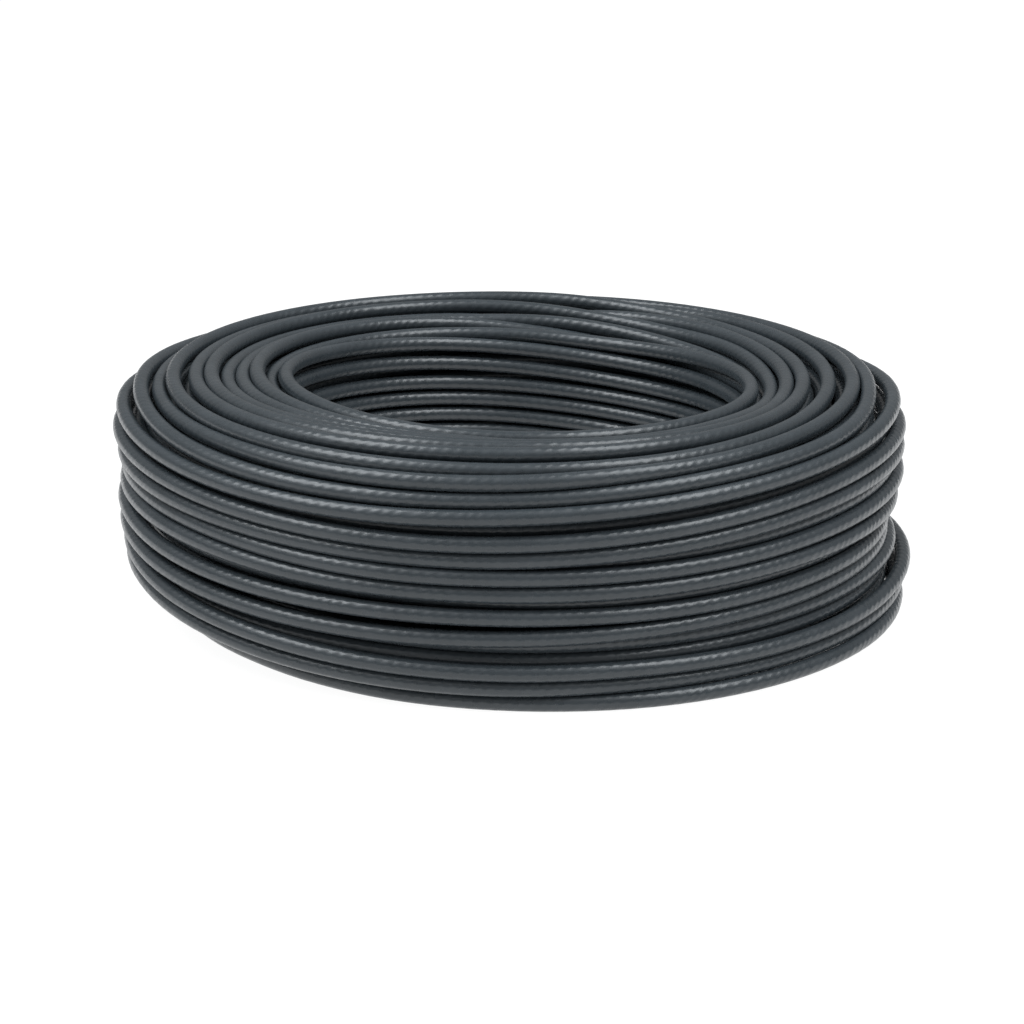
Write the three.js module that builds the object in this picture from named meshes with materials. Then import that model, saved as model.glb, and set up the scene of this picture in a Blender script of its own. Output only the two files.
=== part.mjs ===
// A loose round coil of network cable, lying flat, in millimetres with +Z up.
// The origin is on the floor at the coil's centre. The coil is one length of cable and nothing else,
// so it is one turned ring: every turn that shows makes a rib on the bore, the top, the wall or the base.
import * as THREE from 'three';

// Driving dimensions
const cableDiameter = 6;      // outside of the jacket
const boreRadius = 90.5;      // clear inside of the innermost turns
const turnsAcross = 11;       // turns side by side from the bore to the wall
const turnsHigh = 14;         // turns stacked on the wall and in the bore
const gapAcross = 0.05;       // looseness between neighbouring turns, across the coil
const gapHigh = 0.1;          // looseness between neighbouring turns, up the coil
const crownRise = 4.6;        // the middle of the top over its two edges
const crestShare = 0.5;       // flat crest of a rib, as a share of the cable's diameter
const grooveShare = 0.8;      // groove beside a rib, below its crest, as a share of the cable's radius
const facetsRound = 40;       // flat facets round the coil

const cableRadius = cableDiameter / 2;
const pitchAcross = cableDiameter + gapAcross;
const pitchHigh = cableDiameter + gapHigh;
const innermostTurn = boreRadius + cableRadius;
const outermostTurn = innermostTurn + (turnsAcross - 1) * pitchAcross;
const lowestTurn = cableRadius;
const topTurn = lowestTurn + (turnsHigh - 1) * pitchHigh;

// Directions in which the turns of each face look, as [outward, upward]
const toAxis = [-1, 0];
const up = [0, 1];
const outward = [1, 0];
const down = [0, -1];

// The middle of a turn on the top, which is crowned like a loosely thrown coil.
function topHeight(turn) {
  const across = turn / (turnsAcross - 1);
  return topTurn + crownRise * Math.sin(Math.PI * across);
}

// The turns that show, once round the ring's section: out along the base, up the wall, in over the top
// and down the bore. A turn at a corner shows on two faces and lists both directions.
function visibleTurns() {
  const turns = [];
  for (let turn = 0; turn < turnsAcross; turn++) {
    const middle = [innermostTurn + turn * pitchAcross, lowestTurn];
    const faces = turn === 0 ? [toAxis, down] : turn === turnsAcross - 1 ? [down, outward] : [down];
    turns.push({ middle, faces });
  }
  for (let level = 1; level < turnsHigh - 1; level++) {
    turns.push({ middle: [outermostTurn, lowestTurn + level * pitchHigh], faces: [outward] });
  }
  for (let turn = turnsAcross - 1; turn >= 0; turn--) {
    const middle = [innermostTurn + turn * pitchAcross, topHeight(turn)];
    const faces = turn === turnsAcross - 1 ? [outward, up] : turn === 0 ? [up, toAxis] : [up];
    turns.push({ middle, faces });
  }
  for (let level = turnsHigh - 2; level > 0; level--) {
    turns.push({ middle: [innermostTurn, lowestTurn + level * pitchHigh], faces: [toAxis] });
  }
  return turns;
}

// The flat crest of a rib, from its near shoulder to its far one, for a turn that looks along face.
// Going once round the section, the way along each face is its direction turned a quarter to the left.
function crest(middle, face) {
  const along = [-face[1], face[0]];
  const half = crestShare * cableRadius;
  const shoulder = (side) => new THREE.Vector2(
    middle[0] + face[0] * cableRadius + along[0] * half * side,
    middle[1] + face[1] * cableRadius + along[1] * half * side,
  );
  return [shoulder(-1), shoulder(1)];
}

// The bottom of the groove between two neighbouring turns, on the face that both of them look along.
function groove(turn, next) {
  const face = next.faces.find((direction) => turn.faces.includes(direction));
  const level = cableRadius * (1 - grooveShare);
  return new THREE.Vector2(
    (turn.middle[0] + next.middle[0]) / 2 + face[0] * level,
    (turn.middle[1] + next.middle[1]) / 2 + face[1] * level,
  );
}

function sectionOutline() {
  const turns = visibleTurns();
  const outline = [];
  turns.forEach((turn, index) => {
    const next = turns[(index + 1) % turns.length];
    turn.faces.forEach((face) => outline.push(...crest(turn.middle, face)));
    outline.push(groove(turn, next));
  });
  outline.push(outline[0].clone());
  return outline;
}

function cableCoil() {
  const geometry = new THREE.LatheGeometry(sectionOutline(), facetsRound);
  geometry.rotateX(Math.PI / 2);
  const jacket = new THREE.MeshStandardMaterial({ color: 0x52585c, roughness: 0.48, metalness: 0 });
  const mesh = new THREE.Mesh(geometry, jacket);
  mesh.name = 'cable_coil';
  return mesh;
}

const coil = new THREE.Group();
coil.add(cableCoil());

export default coil;
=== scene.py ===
# %% [markdown]
# # A loose coil of network cable
# The object is raw stock: one long, round network cable, thrown into a coil that lies flat on the floor.
# There is no spool, no tie and no label. So the whole likeness is in how the turns lie, and in the jacket.
# The solid model is one ribbed ring. This script winds the real cable into the space of that ring.

# %% Load the solid model
import math
import bpy
import numpy as np
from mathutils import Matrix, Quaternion, Vector


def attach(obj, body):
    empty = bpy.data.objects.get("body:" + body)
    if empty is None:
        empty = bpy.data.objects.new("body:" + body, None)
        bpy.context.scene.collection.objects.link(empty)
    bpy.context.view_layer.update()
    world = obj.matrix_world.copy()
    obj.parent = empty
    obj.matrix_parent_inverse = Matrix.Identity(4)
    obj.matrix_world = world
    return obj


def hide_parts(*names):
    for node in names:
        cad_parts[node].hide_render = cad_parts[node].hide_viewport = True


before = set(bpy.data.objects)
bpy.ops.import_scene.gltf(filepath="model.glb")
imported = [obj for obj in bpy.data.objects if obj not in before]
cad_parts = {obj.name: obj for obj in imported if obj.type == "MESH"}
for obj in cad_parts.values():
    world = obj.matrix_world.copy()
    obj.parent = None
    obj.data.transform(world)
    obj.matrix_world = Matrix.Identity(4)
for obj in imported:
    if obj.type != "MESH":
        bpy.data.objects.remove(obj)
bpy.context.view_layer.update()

# %% [markdown]
# ## The camera
# Lengths are in metres, apart from the plan of the winding. The cable is 6 mm thick, and the coil's axis
# is the Z axis.
# The camera stands about a metre from the coil's centre and looks down by about 16 degrees. It was found by
# matching the outer rim, the bore and the thickness of the cable near and far with the photograph.
# The point on the floor at the coil's centre is seen at a known pixel, and the camera is turned to put it
# there, so the lens needs no shift.

# %% Place the camera
CABLE = 0.006                     # thickness of the jacket, metres
IMAGE_WIDTH = 1024                # pixels
CAMERA_DISTANCE = 178 * CABLE     # from the coil's centre on the floor
CAMERA_HEIGHT_ANGLE = math.radians(17.7)
FOCAL_PIXELS = 2652               # focal length, in pixels of the image
CENTRE_PIXEL = (510, 580)         # where the coil's centre on the floor is seen
SENSOR_WIDTH = 36.0               # millimetres
NEAREST_SEEN = 0.05
FARTHEST_SEEN = 60.0

camera_data = bpy.data.cameras.new("camera")
camera_data.sensor_width = SENSOR_WIDTH
camera_data.lens = SENSOR_WIDTH * FOCAL_PIXELS / IMAGE_WIDTH
camera_data.clip_start = NEAREST_SEEN
camera_data.clip_end = FARTHEST_SEEN
camera = bpy.data.objects.new("camera", camera_data)
bpy.context.scene.collection.objects.link(camera)
bpy.context.scene.camera = camera

to_camera = Vector((0, -math.cos(CAMERA_HEIGHT_ANGLE), math.sin(CAMERA_HEIGHT_ANGLE)))
camera_up = Vector((0, math.sin(CAMERA_HEIGHT_ANGLE), math.cos(CAMERA_HEIGHT_ANGLE)))
half_width = IMAGE_WIDTH / 2
look = -to_camera
look += camera_up * (CENTRE_PIXEL[1] - half_width) / FOCAL_PIXELS
look += Vector((1, 0, 0)) * (half_width - CENTRE_PIXEL[0]) / FOCAL_PIXELS
camera.location = to_camera * CAMERA_DISTANCE
camera.rotation_euler = look.to_track_quat("-Z", "Y").to_euler()
print("camera at", [round(value, 3) for value in camera.location], "lens", round(camera_data.lens, 1), "mm")

# %% [markdown]
# ## How the coil is wound
# A hand-thrown coil grows in layers, like a spool without flanges: the cable climbs turn by turn up the
# inside, steps outward, and comes back down beside the first layer. The turns are never quite even.
# The winding is worked out in polar coordinates around the coil's axis, with the cable's thickness as the
# unit. Each turn has the same number of stations, and the end of a turn is the start of the next one.
# Every layer lists how high and how far out its turns lie at a few places around the coil, and the turns
# that the photograph shows well, on the wall and on the top, follow short lists of their own.

# %% Stations around the coil
STATIONS = 120                    # per turn, every 3 degrees
START_AZIMUTH = 130.0             # at the back; 270 is the front, nearest to the camera
SEED = 7
azimuth = START_AZIMUTH + np.arange(STATIONS) * 360.0 / STATIONS
random = np.random.default_rng(SEED)


def around(places, values):
    """A smooth closed course through values given at a few azimuths."""
    place = np.array(places, float) % 360
    order = np.argsort(place)
    place = place[order]
    value = np.array(values, float)[order]
    place = np.concatenate([place - 360, place, place + 360])
    value = np.concatenate([value, value, value])
    slope = np.zeros_like(value)
    slope[1:-1] = (value[2:] - value[:-2]) / (place[2:] - place[:-2])
    wanted = azimuth % 360
    left = np.searchsorted(place, wanted, side="right") - 1
    gap = place[left + 1] - place[left]
    t = (wanted - place[left]) / gap
    rise = (2 * t**3 - 3 * t**2 + 1) * value[left] + (3 * t**2 - 2 * t**3) * value[left + 1]
    swing = (t**3 - 2 * t**2 + t) * slope[left] + (t**3 - t**2) * slope[left + 1]
    return rise + gap * swing


print(STATIONS, "stations a turn, one every", 360 / STATIONS, "degrees")

# %% Turns that show on the wall
# The azimuths go round from the left end over the front and the right end to the back.
WALL_PLACES = (188, 222, 255, 290, 326, 352, 35, 100, 155)
wall_turns = [                    # from the floor up: heights, then distances from the axis
    ((0.5, 0.5, 0.5, 0.5, 0.5, 0.5, 0.5, 0.5, 0.5),
     (21.9, 22.1, 24.2, 25.75, 25.9, 25.5, 25.4, 24.8, 22.8)),
    ((3.45, 2.4, 1.6, 1.3, 1.2, 1.45, 1.5, 1.7, 2.6),
     (24.8, 25.0, 25.2, 25.5, 25.5, 25.6, 25.5, 25.3, 25.0)),
    ((4.45, 3.55, 2.6, 2.3, 2.3, 2.85, 2.7, 2.7, 3.6),
     (24.8, 25.3, 25.5, 25.6, 25.7, 26.0, 26.1, 25.7, 25.3)),
    ((5.65, 4.95, 4.5, 4.65, 5.0, 4.9, 4.8, 4.7, 5.2),
     (25.1, 25.3, 25.5, 25.4, 24.9, 24.3, 25.0, 25.5, 25.5)),
    ((7.15, 6.3, 5.9, 5.75, 6.1, 5.9, 5.9, 6.0, 6.6),
     (25.2, 25.4, 25.5, 25.4, 25.0, 24.2, 25.0, 25.5, 25.4)),
    ((8.4, 8.1, 7.3, 7.15, 7.45, 7.2, 7.3, 7.5, 7.8),
     (24.9, 25.4, 25.4, 25.4, 25.3, 24.9, 25.1, 25.3, 25.2)),
    ((9.2, 9.0, 8.3, 8.1, 8.7, 8.8, 8.5, 8.6, 8.9),
     (24.9, 25.2, 25.5, 25.4, 25.3, 25.3, 25.3, 25.4, 25.2)),
    ((10.3, 9.85, 9.1, 9.45, 10.4, 10.4, 10.0, 9.8, 10.1),
     (25.1, 25.4, 25.3, 25.3, 25.3, 25.3, 25.2, 25.3, 25.2)),
    ((11.8, 10.95, 10.0, 10.4, 11.55, 11.75, 11.3, 11.0, 11.4),
     (25.4, 25.5, 25.5, 25.5, 25.4, 25.35, 25.1, 25.3, 25.3)),
    ((13.2, 12.15, 11.6, 12.2, 12.9, 13.5, 12.7, 12.4, 12.7),
     (25.1, 25.4, 25.5, 25.4, 25.2, 24.9, 24.8, 25.4, 25.1)),
    ((14.2, 13.1, 12.5, 13.0, 13.6, 14.1, 13.7, 13.4, 13.7),
     (23.85, 24.8, 24.95, 24.9, 24.5, 23.05, 24.0, 25.0, 24.5)),
]
# Turns of the layer behind the wall, by level: they come out between those of the wall or close the gaps.
behind_wall = {
    2: ((4.2, 3.5, 3.0, 2.9, 2.95, 3.3, 3.1, 3.2, 3.6),
        (23.9, 24.2, 24.6, 24.7, 24.6, 24.6, 24.8, 24.6, 24.2)),
    3: ((5.2, 4.5, 4.0, 3.85, 3.85, 4.0, 4.0, 4.1, 4.6),
        (24.0, 24.2, 24.6, 24.8, 24.7, 24.9, 24.9, 24.6, 24.3)),
    4: ((6.4, 5.8, 5.3, 5.1, 5.4, 5.3, 5.3, 5.5, 6.0),
        (23.6, 23.7, 23.8, 23.8, 23.7, 23.4, 23.6, 23.8, 23.6)),
    5: ((7.9, 7.3, 6.7, 6.4, 6.8, 6.5, 6.6, 6.8, 7.2),
        (24.2, 24.8, 24.5, 25.0, 24.8, 24.1, 24.4, 24.6, 24.4)),
    7: ((9.9, 9.5, 8.8, 8.9, 9.6, 9.6, 9.3, 9.2, 9.6),
        (24.0, 24.3, 24.5, 25.0, 25.0, 24.8, 24.4, 24.5, 24.2)),
    8: ((10.9, 10.35, 9.75, 9.95, 10.7, 10.9, 10.6, 10.3, 10.65),
        (24.2, 24.2, 24.0, 24.0, 24.0, 24.1, 24.2, 24.2, 24.1)),
    9: ((11.9, 11.3, 10.7, 11.0, 11.8, 12.45, 12.0, 11.4, 11.7),
        (24.2, 24.4, 24.4, 24.4, 24.4, 24.5, 24.3, 24.4, 24.2)),
    11: ((13.1, 12.8, 12.65, 12.8, 13.0, 13.05, 13.1, 12.9, 13.05),
         (23.6, 23.7, 23.9, 23.7, 23.1, 22.8, 23.2, 23.6, 23.9)),
}
print(len(wall_turns), "turns on the wall,", len(behind_wall), "between and behind them")

# %% Turns that show on the top
# Azimuths: left 188, front 270, right 350, back 90. One row per layer, from the bore outward, with the
# heights and then the distances of its topmost turn.
TOP_PLACES = (188, 270, 350, 90)
top_turns = [
    ((14.4, 13.9, 13.5, 12.85), (14.6, 15.9, 15.8, 15.6)),
    ((13.9, 13.7, 12.2, 13.3), (15.6, 17.1, 16.3, 16.7)),
    ((14.7, 14.1, 12.2, 13.85), (16.5, 18.3, 16.9, 17.9)),
    ((14.4, 14.4, 12.6, 13.6), (17.3, 19.5, 17.3, 19.1)),
    ((14.3, 14.7, 13.1, 13.6), (18.25, 20.7, 17.1, 20.3)),
    ((14.7, 14.85, 13.8, 14.4), (19.35, 21.9, 17.9, 21.4)),
    ((14.6, 14.8, 14.0, 14.1), (20.3, 23.1, 18.95, 22.5)),
    ((14.6, 14.05, 14.1, 14.45), (21.8, 24.15, 20.6, 23.6)),
    ((13.9, 13.6, 14.2, 14.0), (22.6, 24.9, 22.2, 24.5)),
]
# The turns of the bore, from the floor (0) to its rim (1)
BORE_LEVELS = (0, 0.09, 0.17, 0.25, 0.33, 0.415, 0.5, 0.595, 0.687, 0.778, 0.893, 1)
LAYER_TURNS = (12, 12, 12, 12, 13, 14, 14, 14, 13, 11)
INNER_FOOT = 15.4                 # distance of the lowest turn in the first layer
OUTER_FOOT = 24.4                 # and in the layer behind the wall
WALL_LAYER = len(LAYER_TURNS) - 1
print(sum(LAYER_TURNS), "turns in", len(LAYER_TURNS), "layers")

# %% Plan every turn
LOWEST_TURN = 0.5                 # height of a turn that lies on the floor
PUSH_UP, PUSH_IN = 0.75, 0.45     # how far a pushed turn goes, as shares of the push
SHOWN, BEHIND, BORE, HIDDEN = 1.0, 0.7, 0.6, 0.05   # how firmly each kind of turn holds to its plan
WAVES = 4                         # a hidden turn wanders in waves, one to four times around the coil
WAVE_SIZE = 0.25
LEAN = 3                          # power: a layer stands upright at its foot and leans over near its top

# In the photograph the lowest turns at the left are pushed in and up, as if the coil was set down there.
pushed_in_from = around(WALL_PLACES, (21.0, 21.8, 23.8, 26, 26, 26, 26, 25, 22.5))


def layer_foot(layer):
    """Height and distance of the lowest turn of a layer."""
    foot = INNER_FOOT + (OUTER_FOOT - INNER_FOOT) * layer / (WALL_LAYER - 1)
    pushed = np.clip(foot - pushed_in_from, 0, None)
    return LOWEST_TURN + PUSH_UP * pushed, foot - PUSH_IN * pushed


def hidden_wave():
    """The slow wandering of a turn that nobody laid with care."""
    waves = np.arange(1, WAVES + 1)
    size = random.normal(0, WAVE_SIZE, WAVES) / waves
    phase = random.uniform(0, 2 * math.pi, WAVES)
    angle = np.radians(azimuth)[:, None] * waves + phase
    return (np.sin(angle) * size).sum(axis=1)


def layer_turns(layer):
    """Where the turns of a layer should lie: height, distance and how firmly they hold there."""
    count = LAYER_TURNS[layer]
    turns = []
    if layer < WALL_LAYER:
        top_height = around(TOP_PLACES, top_turns[layer][0])
        top_distance = around(TOP_PLACES, top_turns[layer][1])
        foot_height, foot_distance = layer_foot(layer)
    for level in range(count):
        if layer == WALL_LAYER:
            heights, distances = wall_turns[level]
            turns.append((around(WALL_PLACES, heights), around(WALL_PLACES, distances), SHOWN))
        elif layer == WALL_LAYER - 1 and level in behind_wall:
            heights, distances = behind_wall[level]
            turns.append((around(WALL_PLACES, heights), around(WALL_PLACES, distances), BEHIND))
        else:
            share = BORE_LEVELS[level] if layer == 0 else level / (count - 1)
            height = foot_height + (top_height - foot_height) * share
            distance = foot_distance + (top_distance - foot_distance) * share**LEAN
            firm = SHOWN if level == count - 1 else (BORE if layer == 0 else HIDDEN)
            if firm == HIDDEN:
                distance = distance + hidden_wave()
            turns.append((height, distance, firm))
    return turns if layer % 2 == 0 else turns[::-1]


plan = [turn for layer in range(len(LAYER_TURNS)) for turn in layer_turns(layer)]
planned_height = np.array([turn[0] for turn in plan])
planned_distance = np.array([turn[1] for turn in plan])
firmness = np.array([turn[2] for turn in plan])
print("planned", planned_height.shape[0], "turns of", planned_height.shape[1], "stations")

# %% [markdown]
# A turn can't close on itself, because the cable goes on into the next turn. So each turn steps over to
# the place of the next one on a short stretch at the back of the coil, where such steps usually end up.

# %% Step from each turn to the next
STEP_START, STEP_END = 400.0, 480.0   # azimuths; 360 more than 40 and 120 degrees
step_share = np.clip((azimuth - STEP_START) / (STEP_END - STEP_START), 0, 1)
step_share = step_share**2 * (3 - 2 * step_share)


def step_over(values):
    """Blend each turn into the next one along the step."""
    following = np.concatenate([values[1:], values[-1:]])
    return values * (1 - step_share) + following * step_share


planned_height = step_over(planned_height)
planned_distance = step_over(planned_distance)
hold = step_over(firmness[:, None])
print("steps over between azimuth", STEP_START - 360, "and", STEP_END - 360, "degrees")

# %% [markdown]
# ## Settle the cable
# Two lengths of cable can't be in the same place. The plan above only says roughly where a turn lies, so
# the cable is now settled like a real one. Again and again, each turn is drawn a little towards its plan,
# the cable is evened out along its length because it is springy, and turns that overlap push each other
# apart. The floor, a least distance in the bore and a greatest one at the wall stop it.

# %% Settle
ROUNDS = 260
LOOK_EVERY = 20                   # rounds from one search for neighbours to the next
REACH = 2.0                       # turns that are closer than this are neighbours
BORE_LIMIT, WALL_LIMIT = 14.5, 26.2   # least and greatest distance of a turn from the axis
PULL, LAST_PULL = 0.15, 0.05      # draw towards the plan in a round, at first and at last
FIRST_SHARE = 0.8                 # share of the rounds with the first pull
SPRING = 0.25                     # how strongly a station is evened out with its neighbours
PUSH = 0.45                       # share of an overlap by which each of the two turns gives way
REPEATS = 2                       # times that the cable is evened out, and pushed apart, in a round
height = planned_height.copy()
distance = planned_distance.copy()


def near_pairs(reach):
    """Pairs of turns that come closer than reach, looked at in every second station."""
    first, second = np.triu_indices(len(height), 1)
    closest = np.full(len(first), 1e9)
    for station in range(0, STATIONS, 2):
        apart = (distance[first, station] - distance[second, station])**2
        apart += (height[first, station] - height[second, station])**2
        closest = np.minimum(closest, apart)
    near = closest < reach**2
    return first[near], second[near]


def even_out(values):
    """Average each station with its neighbours along the whole cable."""
    cable = values.ravel()
    cable[1:-1] += SPRING * (cable[:-2] - 2 * cable[1:-1] + cable[2:])


def push_apart(first, second):
    """Move overlapping turns away from each other, and keep all of them within the limits."""
    across = distance[second] - distance[first]
    upward = height[second] - height[first]
    apart = np.sqrt(across**2 + upward**2) + 1e-9
    push = PUSH * np.clip(1.0 - apart, 0, None) / apart
    for values, part in ((distance, push * across), (height, push * upward)):
        change = np.zeros_like(values)
        np.add.at(change, second, part)
        np.add.at(change, first, -part)
        values += change
    np.clip(height, LOWEST_TURN, None, out=height)
    np.clip(distance, BORE_LIMIT, WALL_LIMIT, out=distance)


for turn_round in range(ROUNDS):
    if turn_round % LOOK_EVERY == 0:
        first, second = near_pairs(REACH)
    pull = (PULL if turn_round < FIRST_SHARE * ROUNDS else LAST_PULL) * hold
    height += pull * (planned_height - height)
    distance += pull * (planned_distance - distance)
    for repeat in range(REPEATS):
        even_out(height)
        even_out(distance)
    for repeat in range(REPEATS):
        push_apart(first, second)
print("settled", len(first), "pairs of neighbours in", ROUNDS, "rounds")
print("highest turn at", round(height.max(), 2), "thicknesses of the cable")

# %% The cable's course in space
course_height = height.ravel() * CABLE
course_distance = distance.ravel() * CABLE
course_azimuth = np.radians(START_AZIMUTH + np.arange(height.size) * 360.0 / STATIONS)
course = np.stack([
    course_distance * np.cos(course_azimuth),
    course_distance * np.sin(course_azimuth),
    course_height,
], axis=1)
pieces_of_length = np.linalg.norm(np.diff(course, axis=0), axis=1)
length_so_far = np.concatenate([[0], np.cumsum(pieces_of_length)])
print("the cable is", round(length_so_far[-1], 1), "m long")

# %% [markdown]
# ## The jacket of the cable
# A tube follows the course: at each station a ring of points stands square to the cable. The texture
# coordinates run along the cable in metres and once around it, so that grain and the marks of the twisted
# pairs follow the cable wherever it goes. The cable is one piece on the real object. Here it is made in
# stretches that meet end to end inside the coil, because one mesh of the whole would be too heavy.

# %% Make a stretch of tube
SIDES = 16                        # points around the cable


def tube(name, start, end):
    """A closed tube along the course from station start to station end."""
    middle = course[start:end + 1]
    along = np.gradient(course, axis=0)[start:end + 1]
    along /= np.linalg.norm(along, axis=1)[:, None]
    turn_angle = course_azimuth[start:end + 1]
    outward = np.stack([np.cos(turn_angle), np.sin(turn_angle), np.zeros(len(turn_angle))], axis=1)
    outward -= (outward * along).sum(axis=1)[:, None] * along
    outward /= np.linalg.norm(outward, axis=1)[:, None]
    upward = np.cross(outward, along)
    spoke = np.arange(SIDES) * 2 * math.pi / SIDES
    ring = outward[:, None, :] * np.cos(spoke)[None, :, None]
    ring = ring + upward[:, None, :] * np.sin(spoke)[None, :, None]
    points = (middle[:, None, :] + ring * CABLE / 2).reshape(-1, 3)

    rings = len(middle)
    here = np.arange(rings - 1)[:, None] * SIDES + np.arange(SIDES)[None, :]
    beside = np.arange(rings - 1)[:, None] * SIDES + (np.arange(SIDES)[None, :] + 1) % SIDES
    walls = np.stack([here, here + SIDES, beside + SIDES, beside], axis=2).reshape(-1, 4)
    first_cap = np.arange(SIDES)
    last_cap = (rings - 1) * SIDES + np.arange(SIDES)[::-1]
    faces = walls.tolist() + [first_cap.tolist(), last_cap.tolist()]

    mesh = bpy.data.meshes.new(name)
    mesh.from_pydata(points.tolist(), [], faces)
    travelled = length_so_far[start:end + 1]
    u_here = np.repeat(travelled[:-1, None], SIDES, axis=1)
    u_next = np.repeat(travelled[1:, None], SIDES, axis=1)
    v_here = np.repeat(np.arange(SIDES)[None, :] / SIDES, rings - 1, axis=0)
    v_next = v_here + 1 / SIDES
    wall_uv = np.stack([
        np.stack([u_here, v_here], axis=2),
        np.stack([u_next, v_here], axis=2),
        np.stack([u_next, v_next], axis=2),
        np.stack([u_here, v_next], axis=2),
    ], axis=2).reshape(-1, 2)
    first_uv = np.stack([np.full(SIDES, travelled[0]), np.arange(SIDES) / SIDES], axis=1)
    last_uv = np.stack([np.full(SIDES, travelled[-1]), np.arange(SIDES)[::-1] / SIDES], axis=1)
    uv_layer = mesh.uv_layers.new(name="along_cable")
    uv_layer.data.foreach_set("uv", np.concatenate([wall_uv, first_uv, last_uv]).ravel())
    mesh.update()
    piece = bpy.data.objects.new(name, mesh)
    bpy.context.scene.collection.objects.link(piece)
    return piece


print("a ring of", SIDES, "points at every station")

# %% Make the stretches
SMOOTH_ANGLE = math.radians(50)
stretch_turns = {
    "cable_bore_turns": 35,
    "cable_middle_turns": 35,
    "cable_outer_turns": 35,
    "cable_wall_turns": 22,
}
stretches = []
turn = 0
for name, count in stretch_turns.items():
    start = turn * STATIONS
    end = min((turn + count) * STATIONS, len(course) - 1)
    piece = tube(name, start, end)
    bpy.ops.object.select_all(action="DESELECT")
    bpy.context.view_layer.objects.active = piece
    piece.select_set(True)
    bpy.ops.object.shade_smooth_by_angle(angle=SMOOTH_ANGLE)
    stretches.append((piece, start, end))
    turn += count
    print(name, count, "turns,", round(length_so_far[end] - length_so_far[start], 1), "m")

for piece, start, end in stretches:
    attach(piece, "root")
    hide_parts("cable_coil")
print(len(stretches), "stretches declared as cords")

# %% [markdown]
# ## The jacket's finish
# The jacket is dark slate grey plastic with a satin sheen. It is drawn tightly over four twisted pairs, so
# its surface swells and sinks a little, every few millimetres and aslant. That is what breaks the
# highlights of the lamps into short, slanting lenses. A fine grain and a few dull rubs lie over it.
# The swelling and the grain are bump, because they are less than a tenth of a millimetre deep.

# %% Helpers for the materials
jacket = bpy.data.materials.new("slate_jacket")
jacket.use_nodes = True
nodes = jacket.node_tree.nodes
links = jacket.node_tree.links
nodes.clear()


def node(kind, inputs=None, **settings):
    """A new node with its settings and the values of its sockets, by name or by number."""
    made = nodes.new(kind)
    for name, value in settings.items():
        setattr(made, name, value)
    for socket, value in (inputs or {}).items():
        made.inputs[socket].default_value = value
    return made


def join(source, output, target, socket):
    """Lead an output of one node into a socket of another."""
    links.new(source.outputs[output], target.inputs[socket])


print("empty material", jacket.name)

# %% Swelling over the twisted pairs
PAIRS = 4
SWELL_LENGTH = 0.0046             # from one swelling to the next along the cable, metres
SWELL_DEPTH = 0.000036            # metres
WANDER_SCALE = 50.0               # the swelling comes early or late in patches of about 20 mm
WANDER_PHASE = 12.0               # by up to this angle, in radians
along_cable = node("ShaderNodeUVMap", uv_map="along_cable")
split = node("ShaderNodeSeparateXYZ")
join(along_cable, "UV", split, "Vector")
phase_along = node("ShaderNodeMath", {1: 2 * math.pi / SWELL_LENGTH}, operation="MULTIPLY")
phase_around = node("ShaderNodeMath", {1: -2 * math.pi * PAIRS}, operation="MULTIPLY")
phase = node("ShaderNodeMath", operation="ADD")
swell = node("ShaderNodeMath", operation="SINE")
join(split, "X", phase_along, 0)
join(split, "Y", phase_around, 0)
join(phase_along, "Value", phase, 0)
join(phase_around, "Value", phase, 1)
place = node("ShaderNodeTexCoord")
wander = node("ShaderNodeTexNoise", {"Scale": WANDER_SCALE, "Detail": 1.0})
shift = node("ShaderNodeMath", {1: WANDER_PHASE}, operation="MULTIPLY")
shifted = node("ShaderNodeMath", operation="ADD")
join(place, "Object", wander, "Vector")
join(wander, "Fac", shift, 0)
join(phase, "Value", shifted, 0)
join(shift, "Value", shifted, 1)
join(shifted, "Value", swell, 0)
swell_bump = node("ShaderNodeBump", {"Strength": 1.0, "Distance": SWELL_DEPTH})
join(swell, "Value", swell_bump, "Height")
print("a swelling every", SWELL_LENGTH * 1000, "mm along the cable")

# %% Grain of the plastic
GRAIN_SCALE = 1300.0              # grains of a bit less than a millimetre
GRAIN_DEPTH = 0.00005             # metres
GRAIN_STRENGTH = 0.5
grain = node("ShaderNodeTexNoise", {"Scale": GRAIN_SCALE, "Detail": 3.0})
grain_bump = node("ShaderNodeBump", {"Strength": GRAIN_STRENGTH, "Distance": GRAIN_DEPTH})
join(place, "Object", grain, "Vector")
join(grain, "Fac", grain_bump, "Height")
join(swell_bump, "Normal", grain_bump, "Normal")
print("grain of about", round(1000 / GRAIN_SCALE, 1), "mm")

# %% Tint, sheen and rubs
CLOUD_SCALE = 60.0                # faint clouds of tint, about 17 mm across
DARK_TINT = (0.033, 0.041, 0.047, 1)
PALE_TINT = (0.042, 0.051, 0.058, 1)
RUB_SCALE = 220.0                 # rubs of about 5 mm
SMOOTHEST, DULLEST = 0.25, 0.35   # roughness beside the rubs and on them
cloud = node("ShaderNodeTexNoise", {"Scale": CLOUD_SCALE, "Detail": 4.0})
join(place, "Object", cloud, "Vector")
tint = node("ShaderNodeValToRGB")
tint.color_ramp.elements[0].position = 0.3
tint.color_ramp.elements[0].color = DARK_TINT
tint.color_ramp.elements[1].position = 0.7
tint.color_ramp.elements[1].color = PALE_TINT
join(cloud, "Fac", tint, "Fac")
rub = node("ShaderNodeTexNoise", {"Scale": RUB_SCALE, "Detail": 5.0})
join(place, "Object", rub, "Vector")
rough = node("ShaderNodeMapRange", {
    "From Min": 0.35,
    "From Max": 0.7,
    "To Min": SMOOTHEST,
    "To Max": DULLEST,
})
join(rub, "Fac", rough, "Value")

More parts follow.
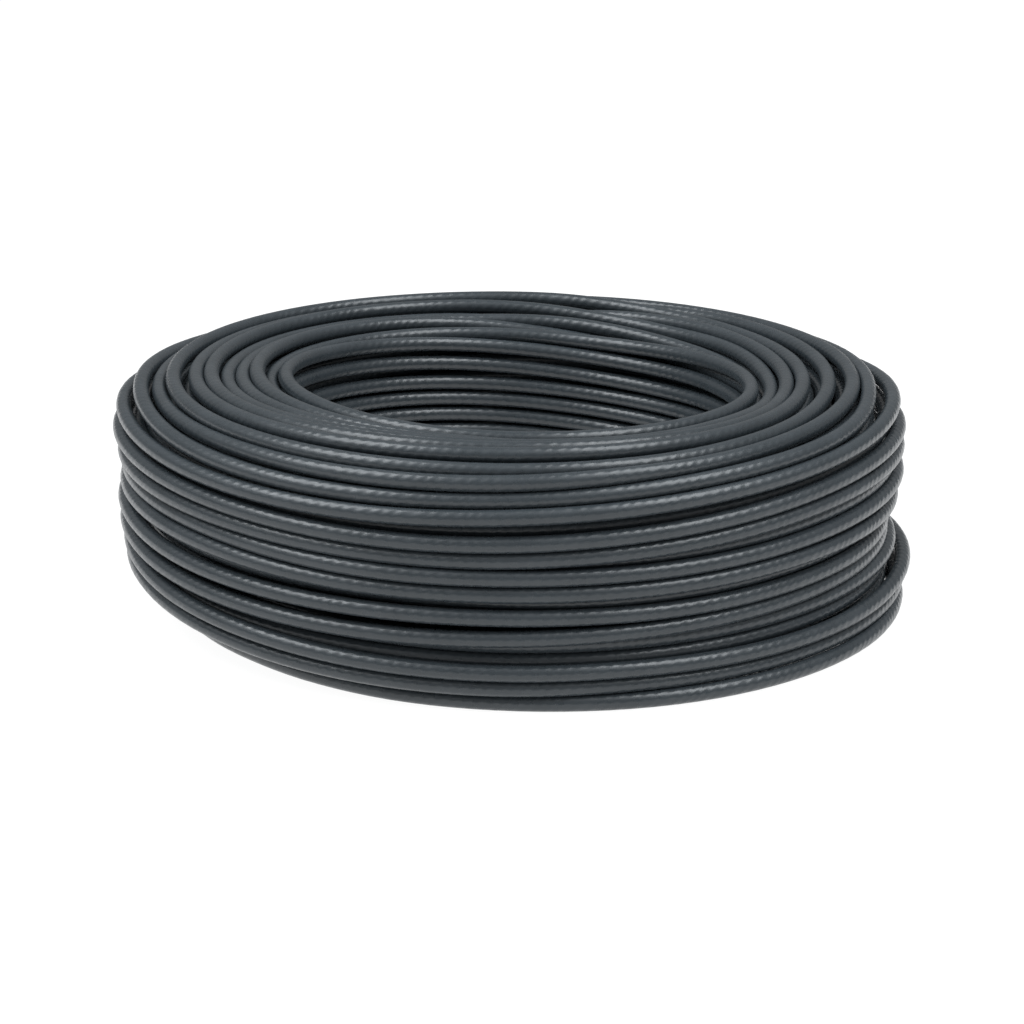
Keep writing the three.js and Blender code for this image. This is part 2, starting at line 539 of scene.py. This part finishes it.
plastic = node("ShaderNodeBsdfPrincipled")
join(tint, "Color", plastic, "Base Color")
join(rough, "Result", plastic, "Roughness")
join(grain_bump, "Normal", plastic, "Normal")
output = node("ShaderNodeOutputMaterial")
join(plastic, "BSDF", output, "Surface")
for piece, start, end in stretches:
    piece.data.materials.append(jacket)
print("jacket material on", len(stretches), "stretches")

# %% [markdown]
# ## Studio
# The cable is seen against plain white, and its undersides are as bright as its tops. So the floor itself is
# bright, the surrounding is dim, and two soft lamps, high up to the left and to the right, make the two rows
# of highlights. A wide, weak lamp around each of them makes the paler band that the highlights stand in.

# %% Floor
FLOOR_SIZE = 12
FLOOR_GREY = 0.15
FLOOR_GLOW = 0.95
bpy.ops.object.select_all(action="DESELECT")
bpy.ops.mesh.primitive_plane_add(size=FLOOR_SIZE, location=(0, 0, 0))
floor = bpy.context.object
floor.name = "studio_floor"
pale = bpy.data.materials.new("pale_floor")
pale.use_nodes = True
pale_shader = pale.node_tree.nodes["Principled BSDF"]
pale_shader.inputs["Base Color"].default_value = (FLOOR_GREY, FLOOR_GREY, FLOOR_GREY, 1)
pale_shader.inputs["Roughness"].default_value = 0.9
pale_shader.inputs["Specular IOR Level"].default_value = 0.0
pale_shader.inputs["Emission Color"].default_value = (1, 1, 1, 1)
pale_shader.inputs["Emission Strength"].default_value = FLOOR_GLOW
floor.data.materials.append(pale)
print("floor that glows with strength", FLOOR_GLOW)

# %% Lamps
LAMP_DISTANCE = 2.2               # from the coil's centre
LAMP_COLOUR = (0.93, 0.97, 1.0)


def soft_lamp(name, azimuth_angle, height_angle, width, tall, roll, brightness):
    """A soft oval lamp that looks at the coil; brightness is per square metre and steradian."""
    data = bpy.data.lights.new(name, "AREA")
    data.shape = "ELLIPSE"
    data.size = width
    data.size_y = tall
    data.energy = brightness * math.pi * math.pi * width * tall / 4
    data.color = LAMP_COLOUR
    lamp = bpy.data.objects.new(name, data)
    bpy.context.scene.collection.objects.link(lamp)
    turn, rise = math.radians(azimuth_angle), math.radians(height_angle)
    direction = Vector((math.cos(turn) * math.cos(rise), math.sin(turn) * math.cos(rise), math.sin(rise)))
    lamp.location = direction * LAMP_DISTANCE
    facing = (-direction).to_track_quat("-Z", "Y")
    lamp.rotation_euler = (facing @ Quaternion((0, 0, 1), math.radians(roll))).to_euler()


# The bright lamps are long ovals, turned so that the highlights are short along the cable and tall on it.
soft_lamp("lamp_left", -173, 57, 0.95, 1.9, 45, 6.2)
soft_lamp("lamp_right", -17, 60, 0.95, 1.9, -45, 6.2)
soft_lamp("glow_left", -160, 50, 2.8, 2.8, 0, 0.75)
soft_lamp("glow_right", -30, 54, 2.6, 2.6, 0, 0.6)
print("two bright lamps and two wide, weak ones")

# %% Surrounding
LOW_GLOW, HIGH_GLOW = 0.24, 0.32  # strengths low down and high up
GLOW_FROM, GLOW_TO = 0.15, 0.75   # between these heights of a direction, where 1 is straight up
world = bpy.data.worlds.new("studio")
world.use_nodes = True
bpy.context.scene.world = world
# From here on, the helpers add to the surrounding instead of the jacket.
nodes = world.node_tree.nodes
links = world.node_tree.links
direction = node("ShaderNodeTexCoord")
parts = node("ShaderNodeSeparateXYZ")
glow = node("ShaderNodeMapRange", {
    "From Min": GLOW_FROM,
    "From Max": GLOW_TO,
    "To Min": LOW_GLOW,
    "To Max": HIGH_GLOW,
})
join(direction, "Generated", parts, "Vector")
join(parts, "Z", glow, "Value")
join(glow, "Result", nodes["Background"], "Strength")
nodes["Background"].inputs["Color"].default_value = (1, 1, 1, 1)
bpy.context.scene.view_settings.view_transform = "Standard"
print("dim surrounding, from", LOW_GLOW, "to", HIGH_GLOW)
